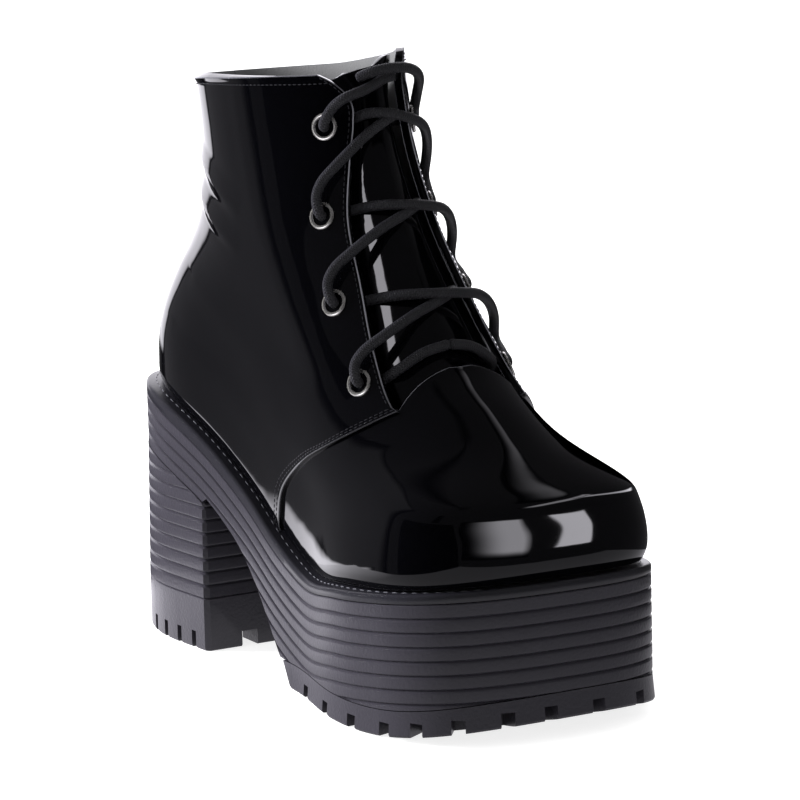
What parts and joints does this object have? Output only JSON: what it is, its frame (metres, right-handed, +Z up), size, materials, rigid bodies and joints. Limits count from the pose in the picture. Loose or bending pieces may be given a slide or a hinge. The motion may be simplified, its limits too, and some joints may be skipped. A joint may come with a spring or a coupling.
{
  "type": "platform lace-up ankle shoe",
  "caption": "Right lace-up ankle shoe on a ribbed platform sole with a high block heel, upper open at the collar and throat, laced through round eyelets over a tongue.",
  "frame": {"origin": "centre of the bounding box's bottom face, on the floor", "axes": "-Y toward the toe, +Y toward the heel, -X toward the lateral side, +X toward the medial side, +Z up"},
  "size_m": [0.1037, 0.2437, 0.2115],
  "materials": {
    "patent_leather": "high-gloss black patent leather",
    "sole_rubber": "semi-matt dark grey-black rubber",
    "rim_leather": "smooth black rim with a row of stitches",
    "eyelet_metal": "polished silver-coloured metal",
    "waxed_cord": "matt black waxed round lace",
    "insole_lining": "dark lining"
  },
  "bodies": {
    "root": {"upper": "patent_leather", "tongue": "patent_leather", "insole": "insole_lining", "welt": "rim_leather", "platform": "sole_rubber", "heel_block": "sole_rubber", "heel_top_piece": "sole_rubber", "forefoot_tread": "sole_rubber", "eyelet_lateral_1": "eyelet_metal", "eyelet_lateral_2": "eyelet_metal", "eyelet_lateral_3": "eyelet_metal", "eyelet_lateral_4": "eyelet_metal", "eyelet_medial_1": "eyelet_metal", "eyelet_medial_2": "eyelet_metal", "eyelet_medial_3": "eyelet_metal", "eyelet_medial_4": "eyelet_metal", "lace_bar": "waxed_cord", "lace_crossing_1": "waxed_cord", "lace_crossing_2": "waxed_cord", "lace_crossing_3": "waxed_cord", "lace_crossing_4": "waxed_cord"}
  },
  "joints": []
}
